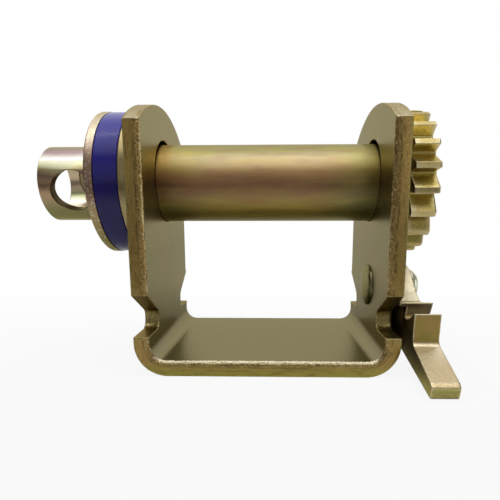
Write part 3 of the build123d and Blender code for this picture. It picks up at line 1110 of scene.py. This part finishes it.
@dataclass
class BentFrame:
    """The bracket, bent from one plate, with sheared front and rear edges and punched notches."""

    half_inner: float = 66.5
    thickness: float = 9.0
    half_depth: float = 51.0
    bend_inner: float = 8.5
    bend_thinning: float = 1.5
    shoulder: float = 141.0
    crown: float = 158.2
    crown_steps: int = 60
    notch_floor: float = 23.0
    notch_roof: float = 33.2
    notch_mouth: float = 46.8
    notch_back: float = 28.7
    notch_floor_radius: float = 7.0
    notch_roof_radius: float = 5.0
    corner_radius: float = 0.7
    drum_hole: Corner = (0.0, 113.0, 25.65)
    pin_hole: Corner = (-3.5, 45.8, 8.08)
    hole_points: int = 120
    pin_hole_points: int = 60
    edge_step: float = 1.0
    edge_bend_steps: int = 12
    skin_step: float = 6.0
    skin_half: float = 48.0
    bend_steps: int = 14
    bend_skin_step: float = 2.0
    bite: float = 0.16
    bite_from: float = 0.56

    # Depth from the outer skin, then the set-back of a punched and of a sheared edge
    rows: tuple[CutRow, ...] = tuple(
        CutRow(*row)
        for row in (
            (0.0, 0.45, 0.4), (0.14, 0.14, 0.13), (0.45, 0.0, 0.0), (1.5, 0.0, 0.0),
            (3.0, 0.0, 0.0), (4.4, 0.0, 0.0), (5.2, 0.0, 0.0), (5.65, 0.0, 0.04),
            (6.05, 0.0, 0.1), (6.45, 0.0, 0.1), (6.9, 0.0, 0.2), (7.35, 0.0, 0.42),
            (7.8, 0.0, 0.72), (8.2, 0.0, 1.05), (8.55, 0.0, 1.4), (8.86, 0.14, 1.8),
            (9.0, 0.45, 2.2),
        )
    )
    hole_depths: tuple[float, ...] = (0.0, 0.14, 0.45, 4.4, 8.55, 8.86, 9.0)

    @property
    def bend_outer(self) -> float:
        """The outer bend radius of a plate that keeps its thickness."""
        return self.bend_inner + self.thickness

    @property
    def base_half(self) -> float:
        """Half the flat run of the base."""
        return self.half_inner + self.thickness - self.bend_outer

    @property
    def bend_end(self) -> float:
        """Where the side plate starts along the outer skin."""
        return self.base_half + self.bend_outer * math.pi / 2

    def bend_runs(self, steps: int) -> list[float]:
        """Where a bend's steps lie along the outer skin, from the base up to the side plate."""
        bend = self.bend_end - self.base_half
        return [self.base_half + bend * i / steps for i in range(steps + 1)]

    def thinned(self, angle: float) -> float:
        """How much thinner the plate is round a bend, whose outer radius is wider.

        Args:
            angle: the angle from the base, in radians.

        Returns:
            The loss of thickness.
        """
        slip = self.bend_thinning * (math.sin(angle) + math.cos(angle))
        wide = self.bend_outer + self.bend_thinning
        return self.bend_outer + slip - math.sqrt(slip**2 - 2 * self.bend_thinning**2 + wide**2)

    def bent(self, along: float, y: float, depth: float) -> Vector:
        """Places a point of the flat blank on the bent plate.

        Args:
            along: its run along the outer skin from the middle of the base.
            y: its place from front to rear.
            depth: its depth below the outer skin.

        Returns:
            The point.
        """
        side = math.copysign(1.0, along)
        run = abs(along)
        if run <= self.base_half:
            return Vector((along, y, depth))
        if run <= self.bend_end:
            angle = (run - self.base_half) / self.bend_outer
            radius = self.bend_outer - depth - self.thinned(angle) * (1 - depth / self.thickness)
            x = self.base_half + radius * math.sin(angle)
            return Vector((side * x, y, self.bend_outer - radius * math.cos(angle)))
        x = self.half_inner + self.thickness - depth
        return Vector((side * x, y, self.bend_outer + run - self.bend_end))

    def side_edge(self) -> list[Flat]:
        """The side plate's outline from its front foot over the crown to its rear foot.

        Returns:
            Places in Y and Z.
        """
        half = self.half_depth
        front = [
            (-half, self.bend_outer, 0.0),
            (-half, self.notch_floor, self.corner_radius),
            (-self.notch_back, self.notch_floor, self.notch_floor_radius),
            (-self.notch_back, self.notch_roof, self.notch_roof_radius),
            (-half, self.notch_mouth, self.corner_radius),
            (-half, self.shoulder, 0.0),
        ]
        rise = self.crown - self.shoulder
        radius = (half**2 + rise**2) / (2 * rise)
        reach = math.asin(half / radius)
        turns = [-reach + 2 * reach * i / self.crown_steps for i in range(1, self.crown_steps)]
        arc = [(radius * math.sin(a), self.crown - radius + radius * math.cos(a)) for a in turns]
        left = rounded(front, False)
        return [*left, *arc, *[(-y, z) for y, z in reversed(left)]]

    def outline(self) -> CutLoop:
        """The blank's outline, with how much each place was sheared.

        Returns:
            The loop.
        """
        half, turns = self.half_depth, self.bend_runs(self.edge_bend_steps)[:-1]
        path = [(self.bend_end + z - self.bend_outer, y) for y, z in self.side_edge()]
        path += [(run, half) for run in [*reversed(turns), *[-run for run in turns]]]
        spots = divided([*path, *[(-run, -y) for run, y in path]], self.edge_step)
        return CutLoop(spots, self.rows, self.shear_marks(spots), self.bite, self.bite_from)

    def shear_marks(self, spots: Sequence[Flat]) -> list[float]:
        """How much of a sheared edge's form each place has, fading towards the punched edges.

        Args:
            spots: the outline's places.

        Returns:
            A share for each place.
        """
        on_side = np.abs(np.abs(np.array(spots)[:, 1]) - self.half_depth) < 1e-3
        marks = on_side.astype(float)
        for _ in range(3):
            marks = np.where(on_side, (np.roll(marks, 1) + marks + np.roll(marks, -1)) / 3, 0.0)
        return marks.tolist()

    def hole(self, y: float, z: float, radius: float, side: int, count: int) -> CutLoop:
        """A round hole through a side plate.

        Args:
            y: its centre from front to rear.
            z: its centre's height.
            radius: its radius.
            side: -1 for the left plate, 1 for the right one.
            count: how many points it has.

        Returns:
            The loop.
        """
        centre = (side * (self.bend_end + z - self.bend_outer), y)
        rows = [row for row in self.rows if row.depth in self.hole_depths]
        return CutLoop(circle(centre, radius, count), rows, [0.0] * count)

    def grid(self) -> list[Flat]:
        """Flat places that the skins take up, close together round the bends.

        Returns:
            The places.
        """
        top = self.bend_end + self.crown - self.bend_outer
        flat = [*np.arange(self.bend_end + self.skin_step, top, self.skin_step)]
        flat += [*np.arange(self.skin_step / 2, self.base_half, self.skin_step)]
        close = self.bend_runs(self.bend_steps)
        spots = []
        for runs, step in ((flat, self.skin_step), (close, self.bend_skin_step)):
            sides = np.arange(-self.skin_half, self.skin_half + 1, step)
            spots += [(run, y) for run in runs for y in sides]
        return [*spots, *[(-run, y) for run, y in spots]]

    def build(self, skin: Material, edge: Material) -> None:
        """Builds the bracket and lets it stand for its solid.

        Args:
            skin: the finish of the plate's faces.
            edge: the finish of its cut edges.
        """
        draft = MeshDraft()
        holes = [self.hole(*self.drum_hole, side, self.hole_points) for side in (-1, 1)]
        holes.append(self.hole(*self.pin_hole, 1, self.pin_hole_points))
        add_plate(draft, [self.outline(), *holes], self.grid(), self.bent)
        settle(draft.finish("bent_bracket", [skin, edge]), "frame", Body.FRAME, Slot.PLATE)


@dataclass
class DrumAssembly:
    """The tube with its two discs, plastic ring, washers and left weld bead."""

    bore_radius: float = 24.25
    outer_flange_x: float = -101.2
    inner_flange_x: float = -82.4
    flange_thickness: float = 5.0
    flange_radius: float = 44.0
    flange_roundings: Corner = (0.3, 0.9, 0.4)
    flange_step: float = 3.0
    rim_bite: float = 0.09
    rim_waves: Flat = (0.5, 28.0)
    rim_margins: Flat = (1.5, 1.0)
    ring_x: float = -96.2
    ring_width: float = 13.8
    ring_radius: float = 43.65
    ring_crown: float = 0.05
    ring_roundings: Flat = (0.5, 0.8)
    ring_arc_steps: int = 8
    ring_step: float = 2.0
    weld_leg: float = 4.0
    weld_steps: int = 10
    weld_swell: float = 0.35
    weld_ripples: int = 46
    weld_ripple_height: float = 0.22
    weld_sink: float = 0.2
    weld_crease: float = 60.0
    lathe: Lathe = Lathe(AXIS, 180)
    weld_lathe: Lathe = Lathe(AXIS, 460)

    def flange(self, x: float) -> MeshDraft:
        """A punched disc with a rolled rim on one side and a burr on the other.

        Args:
            x: its left face.

        Returns:
            The draft.
        """
        end, rim = x + self.flange_thickness, self.flange_radius
        bore_edge, rolled, burr = self.flange_roundings
        bitten, cut = (rim - margin for margin in self.rim_margins)
        along, around = self.rim_waves
        corners = [
            (x, self.bore_radius, bore_edge),
            (x, rim, rolled),
            (x + self.flange_thickness / 2, rim, 0.0),
            (end, rim, burr),
            (end, self.bore_radius, bore_edge),
        ]

        def ripple(x: float, radius: float, angle: float) -> float:
            """How far the torn rim stands back, as a move outward."""
            waves = noise.noise(Vector((x * along, *polar(around, angle))))
            return self.rim_bite * waves - self.rim_bite if radius >= bitten else 0.0

        draft = MeshDraft()
        profile = divided(rounded(corners, True), self.flange_step)
        self.lathe.add(draft, profile, True, ripple, lambda radius: radius > cut)
        return draft

    def ring(self) -> MeshDraft:
        """The plastic ring, with soft corners and a slight crown from its moulding.

        Returns:
            The draft.
        """
        end = self.ring_x + self.ring_width
        side, (bore_edge, rim_edge) = self.ring_radius - self.ring_crown, self.ring_roundings
        corners = [
            (self.ring_x, self.bore_radius, bore_edge),
            (self.ring_x, side, rim_edge),
            ((self.ring_x + end) / 2, self.ring_radius, 0.0),
            (end, side, rim_edge),
            (end, self.bore_radius, bore_edge),
        ]
        draft = MeshDraft()
        profile = divided(rounded(corners, True, self.ring_arc_steps), self.ring_step)
        self.lathe.add(draft, profile, True)
        return draft

    def bead(self, name: str, node: str, x: float, towards: int, weld: Material) -> None:
        """Lays a weld bead round the tube as overlapping ripples.

        Args:
            name: the piece's name.
            node: the CAD node that it replaces.
            x: the face that it is welded to.
            towards: 1 or -1, the way along X that the face looks.
            weld: its finish.
        """
        foot, leg = self.bore_radius, self.weld_leg
        profile = [(x, foot)]
        for i in range(self.weld_steps + 1):
            t = i / self.weld_steps
            swell = self.weld_swell * math.sin(math.pi * t)
            profile.append((x + towards * (leg * (1 - t) + swell), foot + leg * t + swell))

        def ripple(px: float, radius: float, angle: float) -> float:
            """How far the bead stands out, in steps that lean like a fallen row of coins.

            Args:
                px: the place along X.
                radius: its radius in the plain profile.
                angle: its angle round the axis.

            Returns:
                The move outward.
            """
            height = (radius - foot) / leg
            if height <= 0 or abs(px - x) < 1e-6:
                return 0.0
            bulge = math.sin(math.pi * min(1.0, height))
            turn = self.weld_ripples * angle / (2 * math.pi) + 0.5 * bulge
            return self.weld_ripple_height * (turn - math.floor(turn)) * bulge - self.weld_sink

        draft = MeshDraft()
        self.weld_lathe.add(draft, profile, True, ripple)
        settle(draft.finish(name, [weld], self.weld_crease), node, Body.DRUM, Slot.WELD)

    def build(
        self, tube: Material, disc: Material, rim: Material, plastic: Material, weld: Material
    ) -> None:
        """Builds the drum's pieces and dresses the solids that stay in view.

        Args:
            tube: the finish of the drum tube.
            disc: the finish of the discs' faces, the washer and the collar.
            rim: the finish of the outer disc's rim.
            plastic: the finish of the ring.
            weld: the finish of the weld bead.
        """
        dress("drum_tube", tube)
        dress("left_thrust_washer", disc)
        dress("right_thrust_collar", disc)
        outer = self.flange(self.outer_flange_x).finish("outer_disc", [disc, rim])
        settle(outer, "outer_flange", Body.DRUM, Slot.DISC)
        inner = self.flange(self.inner_flange_x).finish("inner_disc", [disc, disc])
        settle(inner, "inner_flange", Body.DRUM, Slot.DISC)
        ring = self.ring().finish("moulded_ring", [plastic])
        settle(ring, "spacer_ring", Body.DRUM, Slot.PLASTIC)
        self.bead("left_bead", "outer_flange_weld", self.outer_flange_x, -1, weld)


@dataclass
class RatchetWheel:
    """The saw-tooth wheel on the tube's right end."""

    inner_x: float = 80.7
    thickness: float = 14.5
    tip_radius: float = 43.5
    tooth_depth: float = 9.5
    tooth_land: float = 3.4
    tooth_count: int = 20
    tooth_phase: float = 77.8
    bore_radius: float = 24.25
    bore_points: int = 120
    tip_rounding: float = 0.45
    root_rounding: float = 1.3
    least_rounding: float = 0.12
    arc_steps: int = 4
    edge_step: float = 1.6
    land_reach: float = 0.35
    bite: Flat = (0.18, 0.03)
    crease: float = 30.0

    # Depth from the inner face, then the set-back of the cut, the same for both kinds
    rows: tuple[CutRow, ...] = tuple(
        CutRow(depth, back, back)
        for depth, back in (
            (0.0, 0.5), (0.14, 0.14), (0.5, 0.0), (4.0, 0.0), (7.5, 0.0),
            (11.0, 0.0), (13.3, 0.0), (13.75, 0.1), (14.2, 0.5), (14.5, 1.05),
        )
    )
    bore_rows: tuple[CutRow, ...] = tuple(
        CutRow(depth, back, back)
        for depth, back in ((0.0, 0.5), (0.5, 0.0), (13.3, 0.0), (14.5, 0.5))
    )

    def place(self, y: float, z: float, depth: float) -> Vector:
        """Puts a flat place of the wheel at its depth."""
        return Vector((self.inner_x + depth, y, z))

    def outline(self) -> CutLoop:
        """The toothed outline, with marks on the lands, which keep the blank's rough skin.

        Returns:
            The loop.
        """
        root, tip = self.tip_radius - self.tooth_depth, self.tip_radius
        land = math.degrees(self.tooth_land / tip)
        corners: list[Corner] = []
        for tooth in reversed(range(self.tooth_count)):
            face = self.tooth_phase + tooth * 360 / self.tooth_count
            for radius, angle, rounding in (
                (tip, face + land, self.tip_rounding),
                (tip, face, self.tip_rounding),
                (root, face, self.root_rounding),
            ):
                y, z = polar(radius, math.radians(angle), AXIS)
                corners.append((-y, z, rounding))
        ways = outward([corner[:2] for corner in corners])

        def pulled(back: float) -> list[Flat]:
            """The outline set back, with its roundings grown or shrunk to suit.

            Args:
                back: how far it is set back.

            Returns:
                The outline's places.
            """
            path = []
            for (y, z, rounding), way in zip(corners, ways):
                grown = rounding + back if rounding > self.tip_rounding else rounding - back
                path.append((y - way.x * back, z - way.y * back, max(self.least_rounding, grown)))
            return rounded(path, True, self.arc_steps)

        base = pulled(0.0)
        spots = divided(base, self.edge_step)
        paths = [divided(pulled(row.punched), self.edge_step, base) for row in self.rows]
        rough = tip - self.land_reach
        marks = [1.0 if math.hypot(y, z - AXIS_HEIGHT) > rough else 0.0 for y, z in spots]
        return CutLoop(spots, self.rows, marks, *self.bite, paths)

    def build(self, face: Material, cut: Material) -> None:
        """Builds the wheel and lets it stand for its solid.

        Args:
            face: the finish of its flat faces.
            cut: the finish of its teeth.
        """
        draft = MeshDraft()
        hole = circle(AXIS, self.bore_radius, self.bore_points)
        bore = CutLoop(hole, self.bore_rows, [0.0] * self.bore_points)
        add_plate(draft, [self.outline(), bore], [], self.place)
        wheel = draft.finish("toothed_wheel", [face, cut], self.crease)
        settle(wheel, "ratchet_wheel", Body.DRUM, Slot.WHEEL)


@dataclass
class PawlAssembly:
    """The forged pawl, the rivet that it swings on and the washer behind it."""

    pivot: Flat = (-3.5, 45.8)
    shank_radius: float = 8.0
    inner_face: float = 66.5
    inner_head: Corner = (13.5, 3.6, 1.0)
    outer_face: float = 91.6
    outer_head: Corner = (10.2, 7.2, 0.8)
    head_steps: int = 16
    head_rim: float = 0.06
    head_flat: float = 0.985
    head_fullness: float = 0.92
    head_bite: float = 0.3
    head_sink: float = 0.4
    head_waves: Flat = (0.4, 0.3)
    head_foot: float = 0.1
    rivet_points: int = 96
    rivet_crease: float = 50.0
    voxel: float = 0.42
    smoothing: int = 3
    dent: float = 0.05
    dent_sink: float = 0.5
    dent_waves: Flat = (0.55, 1.4)
    fine_dents: float = 0.4
    crease: float = 60.0
    hub_radius: float = 13.2
    hub_steps: int = 40
    bore_radius: float = 8.08
    bore_points: int = 48
    hub_layer: Flat = (77.4, 91.4)
    lug_layer: Flat = (81.8, 96.7)
    tail_corner: float = 1.2
    tail_slices: int = 6
    tail_foot: int = 7
    tail_end: tuple[int, ...] = (8, 9, 10)

    # Outlines of the two layers, forward of the pivot and above it
    web: tuple[Flat, ...] = (
        (21.1, -0.7), (29.0, -5.2), (34.0, -4.8), (35.2, -4.8), (30.1, -15.6), (29.5, -35.6),
    )
    lugs: tuple[Corner, ...] = (
        (25.5, -8.5, 0.0), (34.0, -4.8, 0.0), (35.2, -4.8, 0.0), (30.1, -15.6, 1.5),
        (36.9, -14.6, 1.5), (46.0, -8.8, 0.0), (47.2, -8.8, 0.0), (46.1, -26.0, 4.0),
        (73.6, -37.28, 1.2), (75.9, -39.2, 1.2), (74.4, -45.6, 0.0), (29.5, -35.6, 0.0),
        (18.0, -24.0, 0.0),
    )

    # On the plate's side the web's front slopes back under a fin at its crest
    relief_near: tuple[Flat, ...] = ((20.3, -0.62), (20.4, -0.64), (20.5, -0.66), (20.5, -29.6))
    relief_far: tuple[Flat, ...] = ((21.1, -0.7), (29.0, -5.2), (29.5, -5.17), (29.5, -35.6))
    fin: tuple[Flat, ...] = (
        (18.5, -0.6), (21.1, -0.7), (29.0, -5.2), (34.0, -4.8),
        (35.2, -4.8), (34.0, -7.3), (18.5, -7.3),
    )

    def dome(self, base: float, head: Corner, towards: int) -> list[Flat]:
        """A rivet head's profile from its apex to its rim, flat where the rivet set hit it.

        Args:
            base: where the head meets the plate.
            head: its radius, height and slope, 1 for a half ellipse and less for a fuller dome.
            towards: 1 or -1, the way along X that it stands out.

        Returns:
            The profile.
        """
        radius, height, slope = head
        profile = [(base + towards * height, 0.0)]
        for i in range(1, self.head_steps):
            turn = math.pi / 2 * i / self.head_steps
            rise = self.head_rim + (1 - self.head_rim) * math.cos(turn) ** slope
            x = base + towards * height * min(rise, self.head_flat)
            profile.append((x, radius * math.sin(turn) ** self.head_fullness))
        return [*profile, (base, radius)]

    def rivet(self) -> MeshDraft:
        """The rivet, turned about the pivot, with heads that the hammer left a little uneven.

        Returns:
            The draft.
        """
        inner = self.dome(self.inner_face, self.inner_head, -1)
        outer = self.dome(self.outer_face, self.outer_head, 1)
        shank = [(self.inner_face, self.shank_radius), (self.outer_face, self.shank_radius)]
        true_from, true_to = self.inner_face - self.head_foot, self.outer_face + self.head_foot
        along, around = self.head_waves

        def ripple(x: float, radius: float, angle: float) -> float:
            """How far a place on a head stands out; the shank and the heads' feet stay true."""
            waves = noise.noise(Vector((x * along, *polar(radius * around, angle))))
            return 0.0 if true_from <= x <= true_to else self.head_bite * (waves - self.head_sink)

        draft = MeshDraft()
        profile = [*inner, *shank, *reversed(outer)]
        Lathe(self.pivot, self.rivet_points).add(draft, profile, False, ripple)
        return draft

    def hub_angle(self, place: Flat, side: int) -> float:
        """Where on the hub a line from a place touches it, above for a side of 1, below for -1."""
        spread = math.acos(self.hub_radius / math.hypot(*place))
        return math.atan2(place[1], place[0]) + side * spread

    def lug_layers(self) -> list[tuple[float, list[Flat]]]:
        """The lugs with the tail as nested slices, each wider and shorter than the last.

        Returns:
            How far each slice reaches along X, and its outline.
        """
        corner = self.tail_corner
        foot, tip = (Vector(self.lugs[place][:2]) for place in (self.tail_foot, self.tail_end[0]))
        way = (tip - foot).normalized()
        slices = []
        for i in range(self.tail_slices + 1):
            left = corner * (1 - i / self.tail_slices)
            middle = min(left + corner / (2 * self.tail_slices), corner)
            back = corner - math.sqrt(corner**2 - (corner - middle) ** 2)
            path = list(self.lugs)
            for place in self.tail_end:
                ahead, above, rounding = path[place]
                path[place] = (ahead - way.x * back, above - way.y * back, rounding)
            slices.append((self.lug_layer[1] - left, rounded(path, True)))
        return slices

    def blank(self) -> MeshDraft:
        """The pawl with sharp corners: a web with its hub and bore, and the lugs with the tail.

        Returns:
            The draft.
        """
        start, end = self.hub_angle(self.web[-1], -1), self.hub_angle(self.web[0], 1)
        sweep = (start - end + 2 * math.pi) % (2 * math.pi)
        turns = [start - sweep * i / self.hub_steps for i in range(self.hub_steps + 1)]
        hub = [polar(self.hub_radius, turn) for turn in turns]
        bore = circle((0.0, 0.0), self.bore_radius, self.bore_points)
        (hub_near, hub_far), lug_near = self.hub_layer, self.lug_layer[0]
        web, near_web, far_web = (
            [[*front, *hub], bore] for front in (self.web, self.relief_near, self.relief_far)
        )
        layers = [
            (hub_near, near_web, lug_near, far_web),
            (hub_near, [self.fin], lug_near + 1, [self.fin]),
            (lug_near, web, hub_far, web),
            *((lug_near, [outline], far, [outline]) for far, outline in self.lug_layers()),
        ]
        draft = MeshDraft()
        for near, near_loops, far, far_loops in layers:
            rims = []
            for x, loops in ((near, near_loops), (far, far_loops)):
                flat = [[(self.pivot[0] - a, self.pivot[1] + b) for a, b in loop] for loop in loops]
                rims.append([[draft.add(Vector((x, *spot))) for spot in loop] for loop in flat])
                draft.fill(flat, rims[-1], [], lambda y, z, x=x: Vector((x, y, z)), 0.0)
            for first, second in zip(*rims):
                draft.bridge(first, second, Skin.FACE)
        return draft

    def forging(self, finish: Material) -> bpy.types.Object:
        """The pawl as a forging, with its corners eased and soft dents.

        Args:
            finish: its finish.

        Returns:
            The piece.
        """
        rough = self.blank().finish("pawl_blank", [finish])
        remesh = rough.modifiers.new("blank", "REMESH")
        remesh.mode = "VOXEL"
        remesh.voxel_size = self.voxel * MM
        ease = rough.modifiers.new("ease", "SMOOTH")
        ease.factor = 0.5
        ease.iterations = self.smoothing
        graph = bpy.context.evaluated_depsgraph_get()
        mesh = bpy.data.meshes.new_from_object(rough.evaluated_get(graph), depsgraph=graph)
        bpy.data.objects.remove(rough)
        mesh.name = "forged_pawl"
        normals = [vertex.normal.copy() for vertex in mesh.vertices]
        broad, fine = self.dent_waves
        dented = []
        for vertex, normal in zip(mesh.vertices, normals):
            place = vertex.co / MM
            waves = noise.noise(place * broad) + self.fine_dents * noise.noise(place * fine)
            dented.extend(vertex.co + normal * (self.dent * MM * (waves - self.dent_sink)))
        mesh.vertices.foreach_set("co", dented)
        mesh.materials.clear()
        mesh.materials.append(finish)
        return smooth_piece("forged_pawl", mesh, self.crease)

    def build(self, forged: Material, upset: Material) -> None:
        """Builds the pawl and its rivet, and dresses the washer.

        Args:
            forged: the finish of the pawl.
            upset: the finish of the rivet and the washer.
        """
        settle(self.forging(forged), "pawl", Body.PAWL, Slot.FORGED)
        rivet = self.rivet().finish("upset_rivet", [upset], self.rivet_crease)
        settle(rivet, "pawl_pin", Body.FRAME, Slot.RIVET)
        dress("pawl_washer", upset)


@dataclass
class Studio:
    """The pale floor and backdrop, the soft lights and the camera.

    Lengths are in metres, apart from the lens and the sensor, and angles in degrees.
    """

    lens: float = 28.473
    sensor: float = 36.0
    shift: Flat = (-0.0263, 0.0601)
    eye: Corner = (0.00316, -0.26506, 0.0897)
    yaw: float = -1.334
    pitch: float = 8.94
    roll: float = -0.084
    nearest_seen: float = 0.01
    floor_half_width: float = 3.0
    floor_front: float = -2.0
    floor_rear: float = 1.4
    sweep_radius: float = 0.6
    sweep_steps: int = 24
    wall_height: float = 2.6
    white_from: float = -0.16
    white_to: float = 0.25
    white_near: float = 0.86
    mirror_from: float = -0.2
    dim_spot: Corner = (-0.1, 0.0, 0.0)
    clear_span: Flat = (0.1, 0.3)
    # The paper turns grey towards the front: painted shade that the metal mirrors
    grey_span: Flat = (-0.38, -0.16)
    grey_level: float = 0.18
    paper_level: float = 0.78
    room: Corner = (0.15, 0.137, 0.125)
    light_height: float = 1.06

    def camera(self) -> None:
        """Puts the camera where the photograph was taken from."""
        yaw, pitch = math.radians(self.yaw), math.radians(self.pitch)
        level = math.cos(pitch)
        ahead = Vector((math.sin(yaw) * level, math.cos(yaw) * level, -math.sin(pitch)))
        right = Vector((math.cos(yaw), -math.sin(yaw), 0.0))
        turn = Matrix((right, right.cross(ahead), -ahead)).transposed().to_4x4()
        data = bpy.data.cameras.new("photo_view")
        data.sensor_width = self.sensor
        data.lens = self.lens
        data.shift_x, data.shift_y = self.shift
        data.clip_start = self.nearest_seen
        view = shown("photo_view", data)
        roll = Matrix.Rotation(math.radians(self.roll), 4, "Z")
        view.matrix_world = Matrix.Translation(self.eye) @ turn @ roll
        bpy.context.scene.camera = view

    def paper(self) -> Material:
        """White paper: mat under the object, with its shadow, and plain white towards the backdrop.

        Returns:
            The material.
        """
        paint = NodePaint("matt_white_paper")
        path, back = paint.add("LightPath", {}).outputs, paint.sides["Y"]
        mirror = paint.math("MAXIMUM", path["Is Glossy Ray"], path["Is Transmission Ray"])
        reach = paint.add("VectorMath", {"operation": "DISTANCE", 0: paint.spots, 1: self.dim_spot})
        mirror = paint.both(mirror, paint.ramp(reach.outputs["Value"], *self.clear_span))
        direct = paint.ramp(back, self.white_from, self.white_to, 1.0, self.white_near)
        seen = paint.both(path["Is Camera Ray"], direct)
        mirrored = paint.both(mirror, paint.ramp(back, self.mirror_from, self.white_to))
        # Grey towards the front: painted shade, seen mostly in reflections
        tone = paint.ramp(back, *self.grey_span, self.paper_level, self.grey_level)
        mat = paint.add("BsdfDiffuse", {"Color": tone}).outputs[0]
        white = paint.add("Emission", {"Strength": 1.0}).outputs[0]
        share = paint.math("ADD", seen, mirrored)
        mixed = paint.add("MixShader", {0: share, 1: mat, 2: white}).outputs[0]
        set_node(paint.tree, paint.tree.nodes["Material Output"], {"Surface": mixed})
        paint.tree.nodes.remove(paint.tree.nodes["Principled BSDF"])
        return paint.made

    def sweep(self) -> None:
        """Lays the floor and bends it up into the backdrop."""
        bend, half = self.sweep_radius, self.floor_half_width
        profile = [(self.floor_front, 0.0)]
        for i in range(self.sweep_steps + 1):
            turn = math.pi / 2 * i / self.sweep_steps
            profile.append((self.floor_rear + bend * math.sin(turn), bend - bend * math.cos(turn)))
        profile.append((self.floor_rear + bend, self.wall_height))
        points = [(side * half, y, z) for y, z in profile for side in (-1, 1)]
        faces = [(2 * i, 2 * i + 1, 2 * i + 3, 2 * i + 2) for i in range(len(profile) - 1)]
        mesh = bpy.data.meshes.new("floor_and_backdrop")
        mesh.from_pydata(points, [], faces)
        mesh.shade_smooth()
        mesh.materials.append(self.paper())
        sheet = shown("floor_and_backdrop", mesh)
        sheet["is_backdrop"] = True

    def lamp(self, name: str, place: Corner, size: Flat, radiance: float) -> None:
        """Hangs a soft box that faces the drum, or straight down where it hangs overhead.

        Args:
            name: its name.
            place: where it hangs.
            size: its width and height.
            radiance: how bright its face is.
        """
        data = bpy.data.lights.new(name, "AREA")
        data.shape = "RECTANGLE"
        data.size, data.size_y = size
        data.energy = radiance * math.pi * data.size * data.size_y
        box = shown(name, data)
        box.location = place
        if place[2] < self.light_height:
            way = Vector((0.0, 0.0, AXIS_HEIGHT * MM)) - box.location
            box.rotation_euler = way.to_track_quat("-Z", "Y").to_euler()

    def overhead(
        self, name: str, nearest: float, farthest: float, width: float, radiance: float
    ) -> None:
        """Hangs a level soft box over the object.

        Args:
            name: its name.
            nearest: where its front edge is seen from the drum, in degrees up from the front.
            farthest: where its rear edge is seen, in degrees up from the front.
            width: its length along the drum.
            radiance: how bright its face is.
        """
        drop = self.light_height - AXIS_HEIGHT * MM
        front, rear = (-drop / math.tan(math.radians(angle)) for angle in (nearest, farthest))
        place = (0.0, (front + rear) / 2, self.light_height)
        self.lamp(name, place, (width, rear - front), radiance)

    def build(self) -> None:
        """Sets up the whole studio."""
        self.sweep()
        self.camera()
        self.overhead("bright_strip", 75.8, 78.0, 1.5, 7.5)
        self.overhead("main_box", 54.0, 94.0, 1.5, 1.4)
        self.overhead("wide_box", 42.0, 128.0, 1.6, 1.0)
        self.lamp("left_fill", (-0.55, -1.2, 0.4), (0.5, 0.7), 0.25)
        self.lamp("right_fill", (0.55, -1.2, 0.4), (0.5, 0.7), 0.6)
        self.lamp("side_card", (1.2, -0.15, 0.15), (0.6, 0.5), 1.9)
        world = bpy.data.worlds.new("grey_room")
        world.use_nodes = True
        world.node_tree.nodes["Background"].inputs["Color"].default_value = (*self.room, 1.0)
        bpy.context.scene.world = world
        bpy.context.scene.view_settings.view_transform = "Standard"


def write_sizes() -> None:
    """Puts the CAD box and the dressed object's box into plain lists, which are not kept."""
    boxes = {"cad": CAD_BOX, "visual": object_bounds()}
    plain = {key: [[float(v) for v in corner] for corner in box] for key, box in boxes.items()}


def main() -> None:
    """Builds the studio and the winch, piece by piece."""
    logging.basicConfig(level=logging.INFO, format="%(name)s: %(message)s")
    Studio().build()
    drum, wheel, weld = DrumAssembly(), RatchetWheel(), WELD.material()
    BentFrame().build(PLATE.material(), SHEARED.material())
    drum.build(TUBE.material(), DISC.material(), DISC_RIM.material(), PLASTIC.material(), weld)
    wheel.build(WHEEL.material(), TOOTH.material())
    drum.bead("right_bead", "ratchet_weld", wheel.inner_x + wheel.thickness, 1, weld)
    PawlAssembly().build(FORGED.material(), RIVET.material())
    write_sizes()


if __name__ == "__main__":
    main()
